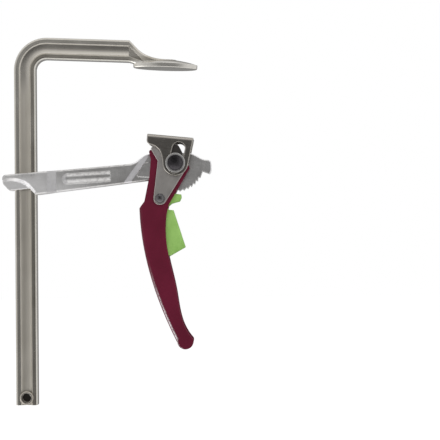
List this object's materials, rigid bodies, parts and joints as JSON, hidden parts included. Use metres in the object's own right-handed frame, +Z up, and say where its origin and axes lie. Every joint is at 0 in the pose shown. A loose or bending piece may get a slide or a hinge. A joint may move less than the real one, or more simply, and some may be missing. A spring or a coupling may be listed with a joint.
{
  "type": "lever clamp",
  "caption": "All-steel lever clamp: a bent rail with a forged jaw, and a sliding arm whose ratchet lever and cams raise a tilting pressure plate.",
  "frame": {"origin": "middle of the fixed jaw pad's flat face", "axes": "+Z up along the rail, +X from the rail towards the jaws, -Y to the viewer of the picture"},
  "size_m": [0.1926, 0.0332, 0.3402],
  "materials": {
    "rail_steel": "drawn steel rail, slightly warm grey",
    "arm_steel": "bright zinc plated forging",
    "plate_steel": "dark burnished steel",
    "cam_steel": "satin grey steel",
    "maroon_paint": "maroon powder coat",
    "green_plastic": "light green moulded plastic",
    "black_steel": "black oiled steel",
    "rivet_steel": "grey steel rivet",
    "bush_steel": "turned steel",
    "inner_steel": "plain machined steel"
  },
  "bodies": {
    "rail": {"rail_bar": "rail_steel", "stop_rivet": "rivet_steel"},
    "arm": {"sliding_arm": "arm_steel", "main_pivot_pin": "black_steel", "pivot_washer_front": "inner_steel", "pivot_washer_rear": "inner_steel"},
    "lever": {"lever_handle": "maroon_paint", "cam_plate_front": "cam_steel", "cam_plate_rear": "cam_steel", "pawl_rivet": "rivet_steel", "trigger_spacer_front": "inner_steel", "trigger_spacer_rear": "inner_steel", "trigger_spring": "inner_steel"},
    "trigger": {"release_trigger": "green_plastic", "pawl": "inner_steel", "pawl_pin": "inner_steel"},
    "bushes": {"slot_bush_front": "bush_steel", "slot_bush_rear": "bush_steel"},
    "plate": {"pressure_plate": "plate_steel"}
  },
  "joints": [
    {"name": "arm_slide", "type": "slide", "parent": "rail", "child": "arm", "axis": [0, 0, 1], "range_m": [-0.184, 0.055]},
    {"name": "lever_swing", "type": "hinge", "parent": "arm", "child": "lever", "pos_m": [0.0093, 0, -0.088], "axis": [0, -1, 0], "range_deg": [-17.2, 51.6]},
    {"name": "trigger_squeeze", "type": "hinge", "parent": "lever", "child": "trigger", "pos_m": [-0.0051, 0, -0.1205], "axis": [0, 1, 0], "range_deg": [-6, 6], "stiffness_Nm_per_rad": 0.4, "springref_deg": -6, "deforming": ["trigger_spring"]},
    {"name": "pad_swivel", "type": "hinge", "parent": "arm", "child": "bushes", "pos_m": [0.0093, 0, -0.088], "axis": [0, -1, 0], "range_deg": [-4, 4]},
    {"name": "pad_lift", "type": "slide", "parent": "bushes", "child": "plate", "axis": [0.2351, 0, 0.972], "range_m": [-0.00956, 0.00325]}
  ],
  "couplings": [
    {"joint": "pad_lift", "follows": "lever_swing", "m_per_rad": -0.0105}
  ]
}
